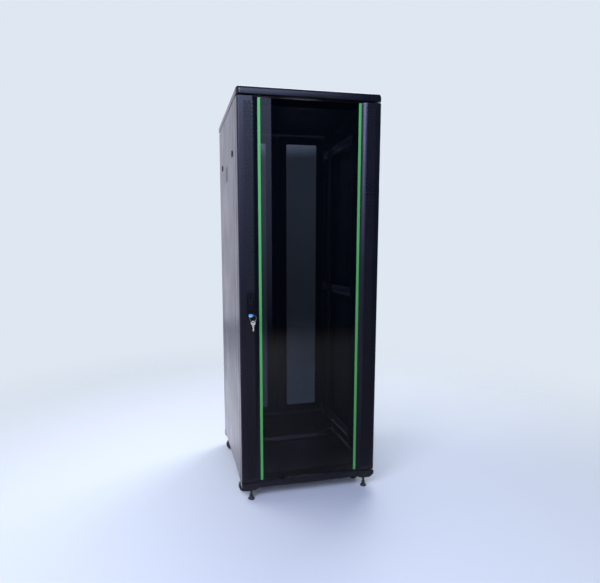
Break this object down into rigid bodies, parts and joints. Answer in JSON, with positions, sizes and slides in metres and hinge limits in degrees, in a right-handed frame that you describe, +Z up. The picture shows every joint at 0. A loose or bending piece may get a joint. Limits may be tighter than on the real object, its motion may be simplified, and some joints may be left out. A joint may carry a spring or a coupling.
{
  "type": "network server rack cabinet",
  "caption": "Floor-standing rack cabinet with a glass front door between perforated borders, split perforated rear doors, removable side panels, swivel casters and levelling feet.",
  "frame": {"origin": "centre of the cabinet footprint, on the floor", "axes": "+Z up, -Y the glass front door, +X the right side seen from the front"},
  "size_m": [0.605, 0.646, 1.69],
  "materials": {
    "black_paint": "fine-textured black powder coat",
    "inner_paint": "smooth black powder coat",
    "zinc_steel": "zinc plated",
    "tinted_glass": "grey toughened glass",
    "green_trim": "satin green",
    "lock_black": "satin black",
    "bright_steel": "nickel plated",
    "key_blue": "glossy blue",
    "seal_foam": "matt",
    "wheel_black": "satin black",
    "foot_black": "satin black"
  },
  "bodies": {
    "frame": {"base_frame": "black_paint", "floor_plates": "inner_paint", "post_front_left": "black_paint", "post_front_right": "black_paint", "post_rear_left": "black_paint", "post_rear_right": "black_paint", "top_frame": "black_paint", "roof_panel": "inner_paint", "roof_entry_cover": "black_paint", "depth_rails": "zinc_steel", "rack_rails_front": "inner_paint", "rack_rails_rear": "inner_paint", "rail_bolts": "zinc_steel", "frame_bolts": "zinc_steel", "hinge_pins": "zinc_steel", "rear_sill": "black_paint", "lock_keeper": "zinc_steel", "door_seals": "seal_foam", "caster_plates": "zinc_steel"},
    "front_door": {"door_border_left": "black_paint", "door_border_right": "black_paint", "door_rails": "black_paint", "door_glass": "tinted_glass", "trim_strips": "green_trim", "front_hinge_blocks": "zinc_steel", "front_lock_housing": "lock_black"},
    "front_rotor": {"front_lock_rotor": "zinc_steel"},
    "front_lever": {"front_lock_lever": "lock_black"},
    "key": {"lock_plug": "bright_steel", "door_key": "key_blue"},
    "key_set": {"key_ring": "bright_steel", "spare_key": "bright_steel"},
    "rear_door_left": {"rear_leaf_left": "inner_paint", "rear_hinge_blocks_left": "zinc_steel", "rear_lock_housing": "lock_black"},
    "rear_rotor": {"rear_lock_rotor": "zinc_steel"},
    "rear_lever": {"rear_lock_lever": "lock_black"},
    "rear_door_right": {"rear_leaf_right": "inner_paint", "rear_hinge_blocks_right": "zinc_steel"},
    "side_left": {"side_panel_left": "black_paint"},
    "side_right": {"side_panel_right": "black_paint"},
    "latch_left_front": {"latch_left_front": "lock_black"},
    "latch_left_rear": {"latch_left_rear": "lock_black"},
    "latch_right_front": {"latch_right_front": "lock_black"},
    "latch_right_rear": {"latch_right_rear": "lock_black"},
    "caster_fork_front_left": {"caster_fork_front_left": "zinc_steel"},
    "caster_wheel_front_left": {"caster_wheel_front_left": "wheel_black"},
    "foot_front_left": {"foot_front_left": "foot_black"},
    "caster_fork_front_right": {"caster_fork_front_right": "zinc_steel"},
    "caster_wheel_front_right": {"caster_wheel_front_right": "wheel_black"},
    "foot_front_right": {"foot_front_right": "foot_black"},
    "caster_fork_rear_left": {"caster_fork_rear_left": "zinc_steel"},
    "caster_wheel_rear_left": {"caster_wheel_rear_left": "wheel_black"},
    "foot_rear_left": {"foot_rear_left": "foot_black"},
    "caster_fork_rear_right": {"caster_fork_rear_right": "zinc_steel"},
    "caster_wheel_rear_right": {"caster_wheel_rear_right": "wheel_black"},
    "foot_rear_right": {"foot_rear_right": "foot_black"}
  },
  "joints": [
    {"name": "front_door_swing", "type": "hinge", "parent": "frame", "child": "front_door", "pos_m": [0.29, -0.27, 0.8], "axis": [0, 0, 1], "range_deg": [0, 105]},
    {"name": "handle_turn", "type": "hinge", "parent": "front_door", "child": "front_rotor", "pos_m": [-0.256, -0.3, 0.878], "axis": [0, -1, 0], "range_deg": [0, 90]},
    {"name": "handle_lift", "type": "hinge", "parent": "front_rotor", "child": "front_lever", "pos_m": [-0.256, -0.311, 0.878], "axis": [-1, 0, 0], "range_deg": [0, 75]},
    {"name": "key_turn", "type": "hinge", "parent": "front_door", "child": "key", "pos_m": [-0.256, -0.3, 0.8], "axis": [0, 1, 0], "range_deg": [0, 90]},
    {"name": "key_set_hang", "type": "hinge", "parent": "key", "child": "key_set", "pos_m": [-0.248, -0.32, 0.8], "axis": [0, 1, 0], "range_deg": [-90, 0]},
    {"name": "rear_left_swing", "type": "hinge", "parent": "frame", "child": "rear_door_left", "pos_m": [-0.29, 0.279, 0.8], "axis": [0, 0, 1], "range_deg": [0, 110]},
    {"name": "rear_right_swing", "type": "hinge", "parent": "frame", "child": "rear_door_right", "pos_m": [0.29, 0.279, 0.8], "axis": [0, 0, -1], "range_deg": [0, 110]},
    {"name": "rear_handle_turn", "type": "hinge", "parent": "rear_door_left", "child": "rear_rotor", "pos_m": [-0.0365, 0.3, 0.943], "axis": [0, 1, 0], "range_deg": [0, 90]},
    {"name": "rear_handle_lift", "type": "hinge", "parent": "rear_rotor", "child": "rear_lever", "pos_m": [-0.0365, 0.311, 0.943], "axis": [1, 0, 0], "range_deg": [0, 75]},
    {"name": "side_left_pull", "type": "slide", "parent": "frame", "child": "side_left", "axis": [-1, 0, 0], "range_m": [0, 0.25]},
    {"name": "side_right_pull", "type": "slide", "parent": "frame", "child": "side_right", "axis": [1, 0, 0], "range_m": [0, 0.25]},
    {"name": "latch_left_front_turn", "type": "hinge", "parent": "side_left", "child": "latch_left_front", "pos_m": [-0.3, -0.164, 1.462], "axis": [-1, 0, 0], "range_deg": [0, 90]},
    {"name": "latch_left_rear_turn", "type": "hinge", "parent": "side_left", "child": "latch_left_rear", "pos_m": [-0.3, 0.174, 1.462], "axis": [1, 0, 0], "range_deg": [0, 90]},
    {"name": "latch_right_front_turn", "type": "hinge", "parent": "side_right", "child": "latch_right_front", "pos_m": [0.3, -0.164, 1.462], "axis": [-1, 0, 0], "range_deg": [0, 90]},
    {"name": "latch_right_rear_turn", "type": "hinge", "parent": "side_right", "child": "latch_right_rear", "pos_m": [0.3, 0.174, 1.462], "axis": [1, 0, 0], "range_deg": [0, 90]},
    {"name": "caster_front_left_swivel", "type": "hinge", "parent": "frame", "child": "caster_fork_front_left", "pos_m": [-0.257, -0.216, 0.06], "axis": [0, 0, 1], "continuous": true},
    {"name": "caster_front_left_roll", "type": "hinge", "parent": "caster_fork_front_left", "child": "caster_wheel_front_left", "pos_m": [-0.277, -0.216, 0.0265], "axis": [0, 1, 0], "continuous": true},
    {"name": "foot_front_left_level", "type": "slide", "parent": "frame", "child": "foot_front_left", "axis": [0, 0, 1], "range_m": [0, 0.014]},
    {"name": "caster_front_right_swivel", "type": "hinge", "parent": "frame", "child": "caster_fork_front_right", "pos_m": [0.257, -0.216, 0.06], "axis": [0, 0, 1], "continuous": true},
    {"name": "caster_front_right_roll", "type": "hinge", "parent": "caster_fork_front_right", "child": "caster_wheel_front_right", "pos_m": [0.237, -0.216, 0.0265], "axis": [0, 1, 0], "continuous": true},
    {"name": "foot_front_right_level", "type": "slide", "parent": "frame", "child": "foot_front_right", "axis": [0, 0, 1], "range_m": [0, 0.014]},
    {"name": "caster_rear_left_swivel", "type": "hinge", "parent": "frame", "child": "caster_fork_rear_left", "pos_m": [-0.257, 0.216, 0.06], "axis": [0, 0, 1], "continuous": true},
    {"name": "caster_rear_left_roll", "type": "hinge", "parent": "caster_fork_rear_left", "child": "caster_wheel_rear_left", "pos_m": [-0.277, 0.216, 0.0265], "axis": [0, 1, 0], "continuous": true},
    {"name": "foot_rear_left_level", "type": "slide", "parent": "frame", "child": "foot_rear_left", "axis": [0, 0, 1], "range_m": [0, 0.014]},
    {"name": "caster_rear_right_swivel", "type": "hinge", "parent": "frame", "child": "caster_fork_rear_right", "pos_m": [0.257, 0.216, 0.06], "axis": [0, 0, 1], "continuous": true},
    {"name": "caster_rear_right_roll", "type": "hinge", "parent": "caster_fork_rear_right", "child": "caster_wheel_rear_right", "pos_m": [0.237, 0.216, 0.0265], "axis": [0, 1, 0], "continuous": true},
    {"name": "foot_rear_right_level", "type": "slide", "parent": "frame", "child": "foot_rear_right", "axis": [0, 0, 1], "range_m": [0, 0.014]}
  ],
  "couplings": [
    {"joint": "key_set_hang", "follows": "key_turn", "ratio": -1}
  ]
}
